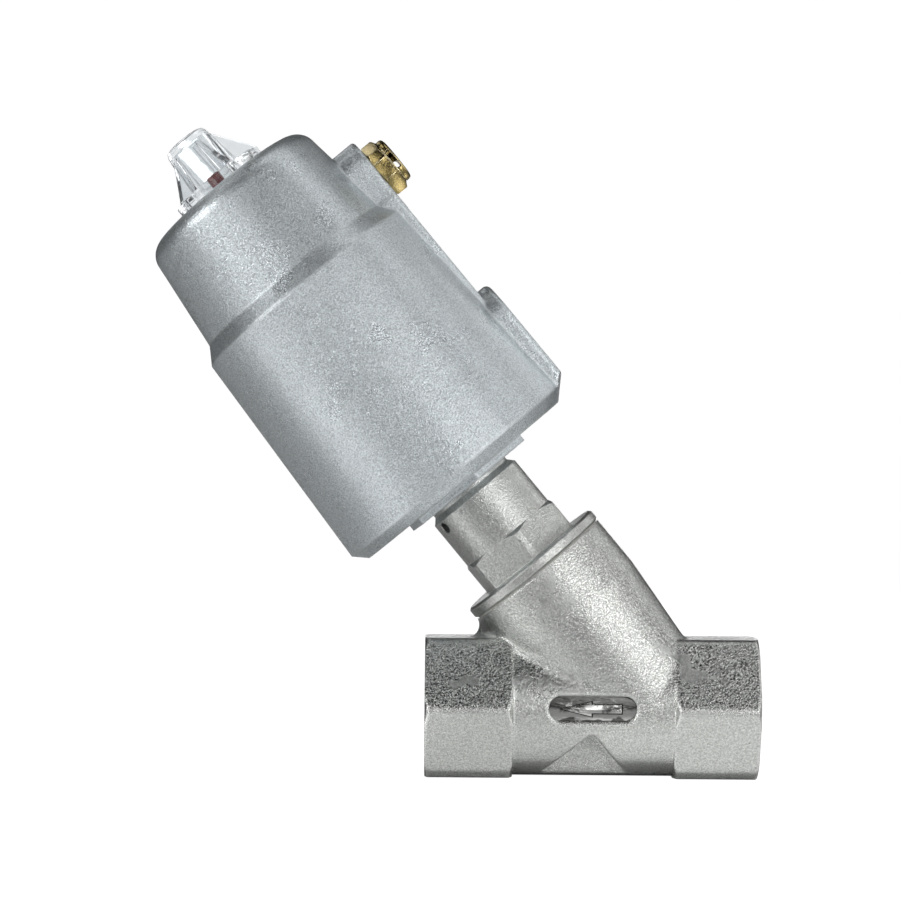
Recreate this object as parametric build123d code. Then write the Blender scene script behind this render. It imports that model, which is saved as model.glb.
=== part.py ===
from build123d import *
from math import cos, sin, sqrt, radians, tan
import os

# Y-pattern angle seat valve, shut by its springs, on a female threaded body.
# Origin: centre of the inlet port face. +X out of the inlet port, +Z up.
# The spindle axis leans back over the outlet and meets the pipe axis at SPINDLE_X.
# Pieces about the spindle are drawn upright: z runs up the spindle from the pipe
# axis, x points out of the air port side, y is the world's y.

# Driving sizes, mm
BODY_LENGTH = 90.0
LEAN = 50.0
SPINDLE_X = -28.4

HEX_FLATS = 37.6
HEX_EDGE_ROUND = 3.0
HEX_END_FALL = 1.1
HEX_END_OVER_FLATS = 0.9
INLET_HEX_LENGTH = 22.9
OUTLET_HEX_LENGTH = 23.7
HEX_INNER_FALL = 1.5
TUBE_R = 18.75
CREASE_R = 3.2

PORT_THREAD_R = 15.15
PORT_THREAD_DEPTH = 16.0
PORT_CHAMFER_R = 0.9
PORT_CHAMFER_DEPTH = 0.4
PASSAGE_R = 12.5
SEAT_BORE_R = 12.0
SEAT_PLANE = 10.6
SEAT_LIP_R = 13.4
SEAT_LIP_HEIGHT = 0.8
CHAMBER_R = 16.0
BONNET_THREAD_R = 17.0
BONNET_THREAD_DEPTH = 14.0
THREAD_RELIEF = 1.0

BRANCH_TOP = 48.5
BRANCH_TOP_R = 21.2
BRANCH_TAPER_START = 34.0
BRANCH_FOOT_R = 18.25
BRANCH_HEEL_R = 15.7
BRANCH_HEEL_DEPTH = 9.1

NOTCH_FLOOR_HALF = 7.0
NOTCH_APEX_V = -16.6
NOTCH_APEX_W = 6.2
NOTCH_APEX_ROUND = 1.5
NOTCH_RIM_ROUND = 1.2

SLOT_LENGTH = 23.5
SLOT_HEIGHT = 7.0
SLOT_Z = 0.6
SLOT_DEPTH = 2.0
SLOT_RIM_ROUND = 0.6
ARROW_HEAD_LENGTH = 7.8
ARROW_HEAD_HALF = 1.9
ARROW_SHAFT_HALF = 1.07
ARROW_LENGTH = 15.8
ARROW_RISE = 0.3
ARROW_SHIFT = -0.2

GASKET_THICKNESS = 0.4
FLANGE_THICKNESS = 3.2
FLANGE_R = 21.4
FLANGE_EDGE_LOW = 0.5
FLANGE_EDGE_TOP = 0.7
SPIGOT_CHAMFER = 0.8
MOUTH_R = 14.4
MOUTH_DEPTH = 4.0
MOUTH_CONE_END = 9.0
BONNET_HEX_FLATS = 28.0
BONNET_HEX_BAR_R = 15.65
BONNET_HEX_TURN = 6.9
BONNET_HEX_HEIGHT = 9.2
BONNET_HEX_FALL = 1.0
NECK_R = 14.15
NECK_TOP = 75.3
NECK_CHAMFER_HEIGHT = 1.7
SWIVEL_RING_R = 12.6
SWIVEL_GAP = 0.1
SWIVEL_TUBE_R = 11.5
SWIVEL_TUBE_TOP = 98.5
SWIVEL_TUBE_CHAMFER = 0.6
SWIVEL_WASHER_WIDTH = 3.4
CIRCLIP_RISE = 1.3
CIRCLIP_THICKNESS = 1.2
CIRCLIP_DEPTH = 0.7
CIRCLIP_WIDTH = 2.2
CIRCLIP_GAP_HALF = 1.6
WEEP_HOLE_R = 1.6
WEEP_HOLE_W = 73.3
WEEP_HOLE_TURN = 59.0

PACKING_R = 9.0
PACKING_FLOOR = 58.0
PACKING_SUPPORT_HEIGHT = 3.0
PACKING_SPRING_WIRE = 1.3
PACKING_SPRING_LENGTH = 11.0
PACKING_SPRING_TURNS = 4
CHEVRON_HEIGHT = 3.0
CHEVRON_COUNT = 4
CHEVRON_VEE = 1.6
GLAND_R_TOP = 8.4
GLAND_HEIGHT = 11.0
GLAND_NOSE = 1.5
GLAND_EDGE_DROP = 0.6
GLAND_LIP = 0.3

SPINDLE_R = 5.0
SPINDLE_NUT_R = 4.0
SPINDLE_CHAMFER = 0.6
SPINDLE_FOOT = 0.8
SPINDLE_TAIL = 6.0
SPINDLE_SHOULDER = 2.0
DISC_SEAL_R = 13.6
DISC_SEAL_THICKNESS = 4.0
DISC_HOLDER_R = 14.0
DISC_HOLDER_THICKNESS = 6.0
DISC_HOLDER_RIM = 3.0
DISC_HOLDER_HUB = 3.5
DISC_WASHER_R = 9.5
DISC_WASHER_THICKNESS = 2.0
DISC_NUT_FLATS = 13.0
DISC_NUT_HEIGHT = 5.0

HEAD_BOTTOM = 80.05
COVER_TOP = 93.0
COVER_HEX_FLATS = 36.0
COVER_HEX_TURN = 10.0
COVER_HEX_HEIGHT = 2.1
SWIVEL_GROOVE_RISE = 4.0
SWIVEL_GROOVE_HEIGHT = 3.0
SWIVEL_GROOVE_DEPTH = 1.9
COVER_GROOVE_RISE = 8.0
COVER_GROOVE_HEIGHT = 2.6
COVER_GROOVE_DEPTH = 2.2
BORE_R = 31.0
BORE_TOP = 127.0
BORE_LEDGE = 1.0
BORE_LEDGE_RISE = 1.5
RIM_R = 33.4
LOWER_FOOT_R = 36.8
LOWER_FOOT_W = 83.4
LOWER_TOP_R = 33.3
STEP_LOW = 147.4
STEP_HIGH = 152.1
UPPER_FOOT_R = 30.2
UPPER_TOP_R = 27.2
HEAD_TOP = 182.4
HEAD_TOP_ROUND = 5.5
WALL_TOP = 3.8
WALL_LOWER = 4.2
WALL_UPPER = 3.2
HOLLOW_CHAMFER = 1.0
STEP_WALL_LOW = 1.0
STEP_WALL_HIGH = 2.0
CAP_SEAT_WIDTH = 3.0
CAP_SEAT_DROP = 2.5

UPPER_BOSS_V = 35.3
UPPER_BOSS_HALF = 7.5
UPPER_BOSS_RISE = 10.8
RIB_V = 35.2
RIB_HALF = 8.2
RIB_DROP = 7.6
LOWER_BOSS_V = 38.85
LOWER_BOSS_HALF = 9.8
LOWER_BOSS_END = 117.2
BOSS_EDGE_ROUND = 1.0
LOWER_BOSS_EDGE_ROUND = 1.6
BOSS_ROOT = 18.0
BOSS_OVERLAP = 6.0

AIR_PORT_R = 4.28
AIR_PORT_W = 99.0
AIR_PORT_CHAMFER = 0.4
VENT_W = 159.4
VENT_R = 4.75

PISTON_BOTTOM = 105.5
PISTON_RIM_HEIGHT = 9.0
PISTON_WEB_HEIGHT = 5.0
PISTON_HUB_R = 9.5
STROKE = 10.0
PISTON_SEAL_HEIGHT = 3.2
PISTON_SEAL_DEPTH = 3.0
WEAR_RING_HEIGHT = 2.4
WEAR_RING_DEPTH = 1.2
PISTON_SEAL_RISE = 2.6
PISTON_SEAL_VEE = 0.9
WEAR_RING_RISE = 6.9
PISTON_NUT_FLATS = 13.0
PISTON_NUT_HEIGHT = 6.5
PISTON_WASHER_R = 8.0
PISTON_WASHER_THICKNESS = 1.6

OUTER_SPRING_R = 20.6
OUTER_SPRING_WIRE = 3.6
OUTER_SPRING_TURNS = 6
INNER_SPRING_R = 14.0
INNER_SPRING_WIRE = 2.6
INNER_SPRING_TURNS = 8

CAP_COLLAR_R = 13.4
CAP_COLLAR_TOP = 186.1
CAP_TOWER_FOOT_R = 8.0
CAP_TOWER_TOP_R = 6.5
CAP_TOP = 199.9
CAP_TOP_ROUND = 1.5
CAP_TOP_WALL = 2.2
CAP_DIMPLE_R = 4.4
CAP_DIMPLE_DEPTH = 0.9
CAP_CAVITY_R = 5.2
CAP_SPIGOT_R = 8.8
CAP_SPIGOT_LENGTH = 5.8
CAP_FIN_COUNT = 5
CAP_FIN_TURN = -67.0
CAP_FIN_THICKNESS = 1.5
CAP_FIN_R = 14.35
CAP_FIN_SHOULDER = 186.3
CAP_FIN_TOP = 197.0
CAP_FIN_STEP = 0.3
PIN_TIP_R = 2.1
PIN_TIP_TOP = 187.2
PIN_BODY_R = 3.6
PIN_TIP_LENGTH = 12.0
PIN_TIP_CHAMFER = 0.3
PIN_SKIRT = 1.6
PIN_SKIRT_TOP = 2.5
PIN_SKIRT_SLOPE = 2.0
PIN_SLOPE = 1.5
PIN_CLEAR = 0.6

SILENCER_HEX_FLATS = 14.0
SILENCER_HEX_HEIGHT = 3.7
SILENCER_NECK_R = 4.6
SILENCER_HEX_TURN = 25.0
SILENCER_THREAD_LENGTH = 7.0
SILENCER_WINDOW_HEIGHT = 1.35
SILENCER_DISC_R = 6.5
SILENCER_DISC_HEIGHT = 1.2
SILENCER_DISC_ROUND = 0.6
SILENCER_DISC_CHAMFER = 0.4
SILENCER_BORE_R = 2.6
SILENCER_WINDOWS = 6
SILENCER_WINDOW_WIDTH = 3.0
SILENCER_WINDOW_TURN = 15.0
SILENCER_MESH_R = 3.3
SILENCER_MESH_WALL = 0.7
SILENCER_MESH_DEPTH = 1.5

# Clearances, mm
FIT = 0.05
SLIDE = 0.06
LOOSE = 0.3
RING_CLEAR = 0.02
OVER = 1.0

# Turn about the spindle that faces the arrow side
FRONT_TURN = -90.0

lean = radians(LEAN)
SPINDLE_FRAME = Location(
    Plane(
        origin=(SPINDLE_X, 0, 0),
        x_dir=(sin(lean), 0, cos(lean)),
        z_dir=(-cos(lean), 0, sin(lean)),
    )
)


def leaning(shape):
    return shape.moved(SPINDLE_FRAME)


def turned(points):
    return revolve(make_face(Plane.XZ * Polyline(*points, close=True)), Axis.Z)


def ring(outer, inner, low, high):
    if inner <= 0:
        return turned([(0, low), (outer, low), (outer, high), (0, high)])
    return turned([(inner, low), (outer, low), (outer, high), (inner, high)])


def hexagon(flats, turn):
    corner = flats / sqrt(3)
    points = [
        (corner * cos(radians(turn + 60 * k)), corner * sin(radians(turn + 60 * k)))
        for k in range(6)
    ]
    return make_face(Polyline(*points, close=True))


def hex_block(flats, turn, low, high):
    return extrude(hexagon(flats, turn).moved(Location((0, 0, low))), high - low)


def hex_nut(flats, bore, low, high, turn):
    corner = flats / sqrt(3)
    flat = flats / 2
    fall = (corner - flat) * tan(radians(30))
    envelope = turned(
        [
            (0, low),
            (flat, low),
            (corner, low + fall),
            (corner, high - fall),
            (flat, high),
            (0, high),
        ]
    )
    return (hex_block(flats, turn, low, high) & envelope) - ring(bore, 0, low - OVER, high + OVER)


def box_at(x0, x1, y0, y1, z0, z1):
    return Box(x1 - x0, y1 - y0, z1 - z0).moved(
        Location(((x0 + x1) / 2, (y0 + y1) / 2, (z0 + z1) / 2))
    )


def bored(radius, x0, x1):
    return Cylinder(radius, x1 - x0, rotation=(0, 90, 0)).moved(Location(((x0 + x1) / 2, 0, 0)))


def coil(mean_r, wire, low, high, turns, handed=False):
    # A compression spring whose ends are cut flat on the two faces it sits between.
    start = low + wire / 2
    rise = high - low - wire
    path = Helix(pitch=rise / turns, height=rise, radius=mean_r, lefthand=handed)
    path = path.moved(Location((0, 0, start)))
    section = Plane(origin=path @ 0, z_dir=path % 0) * Circle(wire / 2)
    return sweep(section, path=path, is_frenet=True)


# Valve body
def end_hex(x_outer, length, inward):
    # Cast hexagon on a port, edges rounded, both ends chamfered like a nut.
    corner = HEX_FLATS / sqrt(3)
    flat = HEX_FLATS / 2
    outline = fillet(hexagon(HEX_FLATS, 0).vertices(), HEX_EDGE_ROUND)
    block = extrude(Plane.YZ * outline, length)
    end_r = flat + HEX_END_OVER_FLATS
    envelope = turned(
        [
            (0, 0),
            (end_r, 0),
            (corner, HEX_END_FALL),
            (corner, length - HEX_INNER_FALL),
            (end_r, length),
            (0, length),
        ]
    ).rotate(Axis.Y, 90)
    block = block & envelope
    if inward < 0:
        block = block.mirror(Plane.YZ)
    return block.moved(Location((x_outer, 0, 0)))


tube = bored(TUBE_R, -BODY_LENGTH + OUTLET_HEX_LENGTH / 2, -INLET_HEX_LENGTH / 2)
branch = turned(
    [
        (0, -BRANCH_HEEL_DEPTH),
        (BRANCH_HEEL_R, -BRANCH_HEEL_DEPTH),
        (BRANCH_FOOT_R, 0),
        (BRANCH_TOP_R, BRANCH_TAPER_START),
        (BRANCH_TOP_R, BRANCH_TOP),
        (0, BRANCH_TOP),
    ]
)
body = tube + leaning(branch)
crease = [e for e in body.edges() if e.geom_type not in (GeomType.CIRCLE, GeomType.LINE)]
body = fillet(crease, CREASE_R)

# V-shaped pocket under the seat: cut right across, its rim rounded, the central web put back.
notch_reach = 2 * TUBE_R
notch_face = make_face(
    Plane.XZ
    * Polyline(
        (NOTCH_APEX_V, NOTCH_APEX_W),
        (NOTCH_APEX_V - notch_reach, NOTCH_APEX_W),
        (NOTCH_APEX_V - notch_reach, NOTCH_APEX_W - notch_reach),
        (NOTCH_APEX_V, NOTCH_APEX_W - notch_reach),
        close=True,
    )
)
notch = leaning(extrude(notch_face, notch_reach, both=True))
apex_line = notch.edges().filter_by(GeomType.LINE).filter_by(Axis.Y).sort_by(Axis.Z)[-1]
notch = fillet(apex_line, NOTCH_APEX_ROUND)
web = body & box_at(
    -BODY_LENGTH, 0, -NOTCH_FLOOR_HALF, NOTCH_FLOOR_HALF, -TUBE_R - OVER, 0
)
body = body - notch


def on_notch_rim(edge):
    # Curved edges that the pocket's two planes leave on the outside of the body.
    spot = edge.moved(SPINDLE_FRAME.inverse()).center()
    across = abs(spot.X - NOTCH_APEX_V) < NOTCH_APEX_ROUND
    along = abs(spot.Z - NOTCH_APEX_W) < NOTCH_APEX_ROUND
    below = spot.X < NOTCH_APEX_V + FIT and spot.Z < NOTCH_APEX_W + FIT
    return (across or along) and below and edge.geom_type != GeomType.LINE


body = fillet(body.edges().filter_by(on_notch_rim), NOTCH_RIM_ROUND)
body = body + web
body = body + end_hex(0, INLET_HEX_LENGTH, -1)
body = body + end_hex(-BODY_LENGTH, OUTLET_HEX_LENGTH, 1)

# Recess with a raised flow arrow on the front.
slot_mid_x = -BODY_LENGTH / 2
slot_floor_y = -(TUBE_R - SLOT_DEPTH)
slot_plane = Plane(origin=(slot_mid_x, slot_floor_y, SLOT_Z), x_dir=(1, 0, 0), z_dir=(0, -1, 0))
slot_cut = extrude(slot_plane * SlotOverall(SLOT_LENGTH, SLOT_HEIGHT), SLOT_DEPTH + 4 * OVER)
body = body - slot_cut


def on_slot_rim(edge):
    box = edge.bounding_box()
    at_slot = abs(edge.center().X - slot_mid_x) < SLOT_LENGTH / 2 + OVER
    at_slot = at_slot and abs(edge.center().Z - SLOT_Z) < SLOT_HEIGHT / 2 + OVER
    return at_slot and box.max.Y < slot_floor_y - SLOT_DEPTH / 4


body = fillet(body.edges().filter_by(on_slot_rim), SLOT_RIM_ROUND)
arrow_tip = -ARROW_LENGTH / 2 + ARROW_SHIFT
arrow_back = arrow_tip + ARROW_HEAD_LENGTH
arrow_face = make_face(
    slot_plane
    * Polyline(
        (arrow_tip, 0),
        (arrow_back, ARROW_HEAD_HALF),
        (arrow_back, ARROW_SHAFT_HALF),
        (arrow_tip + ARROW_LENGTH, ARROW_SHAFT_HALF),
        (arrow_tip + ARROW_LENGTH, -ARROW_SHAFT_HALF),
        (arrow_back, -ARROW_SHAFT_HALF),
        (arrow_back, -ARROW_HEAD_HALF),
        close=True,
    )
)
body = body + extrude(arrow_face, ARROW_RISE, both=True)

# Ports and passages.
thread_end = -PORT_THREAD_DEPTH
outlet_thread_end = -BODY_LENGTH + PORT_THREAD_DEPTH
mouth = turned(
    [
        (0, OVER),
        (PORT_THREAD_R + PORT_CHAMFER_R, OVER),
        (PORT_THREAD_R + PORT_CHAMFER_R, 0),
        (PORT_THREAD_R, -PORT_CHAMFER_DEPTH),
        (PORT_THREAD_R, thread_end),
        (PASSAGE_R, thread_end - (PORT_THREAD_R - PASSAGE_R)),
        (0, thread_end - (PORT_THREAD_R - PASSAGE_R)),
    ]
).rotate(Axis.Y, 90)
inlet_cut = mouth + bored(PASSAGE_R, SPINDLE_X, thread_end) + Sphere(PASSAGE_R).moved(
    Location((SPINDLE_X, 0, 0))
)
seat_bore = leaning(ring(SEAT_BORE_R, 0, 0, SEAT_PLANE + OVER))
outlet_mouth = mouth.mirror(Plane.YZ).moved(Location((-BODY_LENGTH, 0, 0)))
outlet_side = leaning(
    box_at(-BODY_LENGTH, 0, -BODY_LENGTH, BODY_LENGTH, SEAT_PLANE - SEAT_LIP_HEIGHT, BODY_LENGTH)
)
outlet_run = bored(PASSAGE_R, outlet_thread_end - OVER, SPINDLE_X) & outlet_side
chamber = leaning(
    turned(
        [
            (0, SEAT_PLANE - SEAT_LIP_HEIGHT),
            (CHAMBER_R, SEAT_PLANE - SEAT_LIP_HEIGHT),
            (CHAMBER_R, BRANCH_TOP - BONNET_THREAD_DEPTH - THREAD_RELIEF),
            (BONNET_THREAD_R, BRANCH_TOP - BONNET_THREAD_DEPTH),
            (BONNET_THREAD_R, BRANCH_TOP + OVER),
            (0, BRANCH_TOP + OVER),
        ]
    )
)
seat_lip = leaning(
    turned(
        [
            (SEAT_BORE_R, SEAT_PLANE - SEAT_LIP_HEIGHT - OVER),
            (SEAT_LIP_R + SEAT_LIP_HEIGHT, SEAT_PLANE - SEAT_LIP_HEIGHT - OVER),
            (SEAT_LIP_R + SEAT_LIP_HEIGHT, SEAT_PLANE - SEAT_LIP_HEIGHT),
            (SEAT_LIP_R, SEAT_PLANE),
            (SEAT_BORE_R, SEAT_PLANE),
        ]
    )
)
body = body - inlet_cut - outlet_mouth - outlet_run - chamber
body = body + seat_lip
body = body - seat_bore

pieces = {"valve_body": body}

# Bonnet: flange, hexagon, neck and swivel tube in one turned piece.
flange_bottom = BRANCH_TOP + GASKET_THICKNESS
flange_top = flange_bottom + FLANGE_THICKNESS
hex_top = flange_top + BONNET_HEX_HEIGHT
spigot_end = BRANCH_TOP - BONNET_THREAD_DEPTH
spigot_r = BONNET_THREAD_R - FIT
swivel_ring_low = NECK_TOP + NECK_CHAMFER_HEIGHT
swivel_ring_top = HEAD_BOTTOM - COVER_HEX_HEIGHT - SWIVEL_GAP
circlip_low = COVER_TOP + CIRCLIP_RISE
circlip_high = circlip_low + CIRCLIP_THICKNESS
circlip_groove_r = SWIVEL_TUBE_R - CIRCLIP_DEPTH
gland_top = SWIVEL_TUBE_TOP
gland_low = gland_top - GLAND_HEIGHT + GLAND_NOSE

bonnet = turned(
    [
        (0, spigot_end),
        (spigot_r - SPIGOT_CHAMFER, spigot_end),
        (spigot_r, spigot_end + SPIGOT_CHAMFER),
        (spigot_r, flange_bottom),
        (FLANGE_R - FLANGE_EDGE_LOW, flange_bottom),
        (FLANGE_R, flange_bottom + FLANGE_EDGE_LOW),
        (FLANGE_R, flange_top - FLANGE_EDGE_TOP),
        (FLANGE_R - FLANGE_EDGE_TOP, flange_top),
        (0, flange_top),
    ]
)
bonnet_hex = hex_block(BONNET_HEX_FLATS, BONNET_HEX_TURN + FRONT_TURN, flange_top - OVER, hex_top)
bonnet_bar = turned(
    [
        (0, flange_top - OVER),
        (BONNET_HEX_BAR_R, flange_top - OVER),
        (BONNET_HEX_BAR_R, hex_top - BONNET_HEX_FALL),
        (NECK_R, hex_top),
        (0, hex_top),
    ]
)
bonnet = bonnet + (bonnet_hex & bonnet_bar)
neck = turned(
    [
        (0, hex_top - OVER),
        (NECK_R, hex_top - OVER),
        (NECK_R, NECK_TOP),
        (SWIVEL_RING_R, swivel_ring_low),
        (SWIVEL_RING_R, swivel_ring_top),
        (SWIVEL_TUBE_R, swivel_ring_top),
        (SWIVEL_TUBE_R, circlip_low),
        (circlip_groove_r, circlip_low),
        (circlip_groove_r, circlip_high),
        (SWIVEL_TUBE_R, circlip_high),
        (SWIVEL_TUBE_R, SWIVEL_TUBE_TOP - SWIVEL_TUBE_CHAMFER),
        (SWIVEL_TUBE_R - SWIVEL_TUBE_CHAMFER, SWIVEL_TUBE_TOP),
        (0, SWIVEL_TUBE_TOP),
    ]
)
bonnet = bonnet + neck
bonnet_bore = turned(
    [
        (0, spigot_end - OVER),
        (MOUTH_R, spigot_end - OVER),
        (MOUTH_R, spigot_end + MOUTH_DEPTH),
        (SPINDLE_R + LOOSE, spigot_end + MOUTH_CONE_END),
        (SPINDLE_R + LOOSE, PACKING_FLOOR),
        (PACKING_R, PACKING_FLOOR),
        (PACKING_R, SWIVEL_TUBE_TOP + OVER),
        (0, SWIVEL_TUBE_TOP + OVER),
    ]
)
bonnet = bonnet - bonnet_bore
weep = Cylinder(WEEP_HOLE_R, 2 * NECK_R, align=(Align.CENTER, Align.CENTER, Align.MIN))
weep = weep.rotate(Axis.Y, 90).rotate(Axis.Z, FRONT_TURN - WEEP_HOLE_TURN)
weep = weep.moved(Location((0, 0, WEEP_HOLE_W)))
bonnet = bonnet - weep
pieces["bonnet"] = leaning(bonnet)

gasket_r = BRANCH_TOP_R - FLANGE_EDGE_TOP
pieces["bonnet_gasket"] = leaning(ring(gasket_r, BONNET_THREAD_R, BRANCH_TOP, flange_bottom))

# Spindle packing, bottom to top: support ring, spring, chevrons, gland.
packing_mid_r = (PACKING_R + SPINDLE_R) / 2
support_top = PACKING_FLOOR + PACKING_SUPPORT_HEIGHT
pieces["packing_support_ring"] = leaning(
    ring(PACKING_R - FIT, SPINDLE_R + LOOSE, PACKING_FLOOR, support_top)
)
pack_spring_top = support_top + PACKING_SPRING_LENGTH
pieces["packing_spring"] = leaning(
    coil(
        packing_mid_r,
        PACKING_SPRING_WIRE,
        support_top,
        pack_spring_top,
        PACKING_SPRING_TURNS,
    )
)
pressure_top = gland_low - CHEVRON_COUNT * CHEVRON_HEIGHT - CHEVRON_VEE
pieces["packing_pressure_ring"] = leaning(
    ring(PACKING_R - FIT, SPINDLE_R + LOOSE, pack_spring_top, pressure_top)
)
for k in range(CHEVRON_COUNT):
    low = pressure_top + k * CHEVRON_HEIGHT
    high = low + CHEVRON_HEIGHT - FIT
    chevron = turned(
        [
            (SPINDLE_R + LOOSE, low),
            (packing_mid_r, low + CHEVRON_VEE),
            (PACKING_R - FIT, low),
            (PACKING_R - FIT, high),
            (packing_mid_r, high + CHEVRON_VEE),
            (SPINDLE_R + LOOSE, high),
        ]
    )
    pieces[f"packing_chevron_{k + 1}"] = leaning(chevron)

gland = turned(
    [
        (SPINDLE_R + SLIDE, gland_low),
        (PACKING_R - FIT, gland_low),
        (PACKING_R - FIT, gland_top),
        (GLAND_R_TOP, gland_top + GLAND_NOSE),
        (SPINDLE_R + SLIDE, gland_top + GLAND_NOSE),
    ]
)
gland = gland - turned(
    [
        (SPINDLE_R + SLIDE - OVER, gland_low - OVER),
        (SPINDLE_R + SLIDE - OVER, gland_low + GLAND_LIP),
        (packing_mid_r, gland_low + CHEVRON_VEE + FIT),
        (PACKING_R + OVER, gland_low - GLAND_EDGE_DROP),
        (PACKING_R + OVER, gland_low - OVER),
    ]
)
pieces["gland_bush"] = leaning(gland)

# Swivel: washer and circlip over the cover hold the head on the bonnet.
swivel_washer_r = SWIVEL_TUBE_R + SWIVEL_WASHER_WIDTH
pieces["swivel_washer"] = leaning(
    ring(swivel_washer_r, SWIVEL_TUBE_R + FIT, COVER_TOP + FIT, circlip_low - FIT)
)
circlip_r = SWIVEL_TUBE_R + CIRCLIP_WIDTH
circlip = ring(circlip_r, circlip_groove_r + FIT, circlip_low + FIT, circlip_high - FIT)
circlip = circlip - box_at(
    0, circlip_r + OVER, -CIRCLIP_GAP_HALF, CIRCLIP_GAP_HALF, circlip_low - OVER, circlip_high + OVER
)
pieces["swivel_circlip"] = leaning(circlip)

# Spindle and closing disc.
seal_top = SEAT_PLANE + DISC_SEAL_THICKNESS + FIT
seal_low = SEAT_PLANE + FIT
holder_top = seal_top + DISC_HOLDER_THICKNESS
disc_washer_low = seal_low - DISC_WASHER_THICKNESS
disc_nut_low = disc_washer_low - DISC_NUT_HEIGHT
piston_top = PISTON_BOTTOM + PISTON_RIM_HEIGHT
web_top = PISTON_BOTTOM + PISTON_WEB_HEIGHT
washer_top = piston_top + PISTON_WASHER_THICKNESS
nut_top = washer_top + PISTON_NUT_HEIGHT
spindle_foot = disc_nut_low - SPINDLE_FOOT
spindle_step = seal_top + SPINDLE_SHOULDER
spindle_end = nut_top + SPINDLE_TAIL
pieces["spindle"] = leaning(
    turned(
        [
            (0, spindle_foot),
            (SPINDLE_NUT_R - SPINDLE_CHAMFER, spindle_foot),
            (SPINDLE_NUT_R, spindle_foot + SPINDLE_CHAMFER),
            (SPINDLE_NUT_R, spindle_step),
            (SPINDLE_R, spindle_step),
            (SPINDLE_R, PISTON_BOTTOM),
            (SPINDLE_NUT_R, PISTON_BOTTOM),
            (SPINDLE_NUT_R, spindle_end - SPINDLE_CHAMFER),
            (SPINDLE_NUT_R - SPINDLE_CHAMFER, spindle_end),
            (0, spindle_end),
        ]
    )
)
pieces["disc_holder"] = leaning(
    turned(
        [
            (SPINDLE_NUT_R, seal_top),
            (DISC_HOLDER_R, seal_top),
            (DISC_HOLDER_R, seal_top + DISC_HOLDER_RIM),
            (SPINDLE_R + DISC_HOLDER_HUB, holder_top),
            (SPINDLE_R, holder_top),
            (SPINDLE_R, spindle_step),
            (SPINDLE_NUT_R, spindle_step),
        ]
    )
)
pieces["disc_seal"] = leaning(ring(DISC_SEAL_R, SPINDLE_NUT_R, seal_low, seal_top))
pieces["disc_washer"] = leaning(ring(DISC_WASHER_R, SPINDLE_NUT_R, disc_washer_low, seal_low))
pieces["disc_nut"] = leaning(
    hex_nut(DISC_NUT_FLATS, SPINDLE_NUT_R, disc_nut_low, disc_washer_low, FRONT_TURN)
)

# Head: base cover, housing, springs.
cover_low = HEAD_BOTTOM - COVER_HEX_HEIGHT
cover_r = BORE_R - FIT
cover_bore = SWIVEL_TUBE_R + SLIDE
swivel_groove_low = HEAD_BOTTOM + SWIVEL_GROOVE_RISE
swivel_groove_high = swivel_groove_low + SWIVEL_GROOVE_HEIGHT
cover_groove_low = HEAD_BOTTOM + COVER_GROOVE_RISE
cover_groove_high = cover_groove_low + COVER_GROOVE_HEIGHT
cover = hex_block(COVER_HEX_FLATS, COVER_HEX_TURN + FRONT_TURN, cover_low, HEAD_BOTTOM + OVER)
cover = cover + turned(
    [
        (0, HEAD_BOTTOM),
        (cover_r, HEAD_BOTTOM),
        (cover_r, cover_groove_low),
        (cover_r - COVER_GROOVE_DEPTH, cover_groove_low),
        (cover_r - COVER_GROOVE_DEPTH, cover_groove_high),
        (cover_r, cover_groove_high),
        (cover_r, COVER_TOP),
        (0, COVER_TOP),
    ]
)
cover = cover - turned(
    [
        (0, cover_low - OVER),
        (cover_bore, cover_low - OVER),
        (cover_bore, swivel_groove_low),
        (cover_bore + SWIVEL_GROOVE_DEPTH, swivel_groove_low),
        (cover_bore + SWIVEL_GROOVE_DEPTH, swivel_groove_high),
        (cover_bore, swivel_groove_high),
        (cover_bore, COVER_TOP + OVER),
        (0, COVER_TOP + OVER),
    ]
)
pieces["base_cover"] = leaning(cover)


def o_ring(mean_r, groove_depth, low, high):
    return Torus(mean_r, groove_depth / 2 - RING_CLEAR).moved(Location((0, 0, (low + high) / 2)))


swivel_ring_mean = cover_bore + SWIVEL_GROOVE_DEPTH / 2
cover_ring_mean = cover_r - COVER_GROOVE_DEPTH / 2
pieces["swivel_o_ring"] = leaning(
    o_ring(swivel_ring_mean, SWIVEL_GROOVE_DEPTH, swivel_groove_low, swivel_groove_high)
)
pieces["cover_o_ring"] = leaning(
    o_ring(cover_ring_mean, COVER_GROOVE_DEPTH, cover_groove_low, cover_groove_high)
)

upper_draft = (UPPER_FOOT_R - UPPER_TOP_R) / (HEAD_TOP - HEAD_TOP_ROUND - STEP_HIGH)
shell = turned(
    [
        (0, HEAD_BOTTOM),
        (RIM_R, HEAD_BOTTOM),
        (LOWER_FOOT_R, LOWER_FOOT_W),
        (LOWER_TOP_R, STEP_LOW),
        (UPPER_FOOT_R, STEP_HIGH),
        (UPPER_TOP_R - upper_draft * HEAD_TOP_ROUND, HEAD_TOP),
        (0, HEAD_TOP),
    ]
)
top_edge = shell.edges().filter_by(GeomType.CIRCLE).sort_by(Axis.Z)[-1]
shell = fillet(top_edge, HEAD_TOP_ROUND)


def rounded_face(block, flat, edge_round):
    rims = block.edges().filter_by(lambda e: abs(e.center().X - flat) < FIT)
    return fillet(rims, edge_round)


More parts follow.
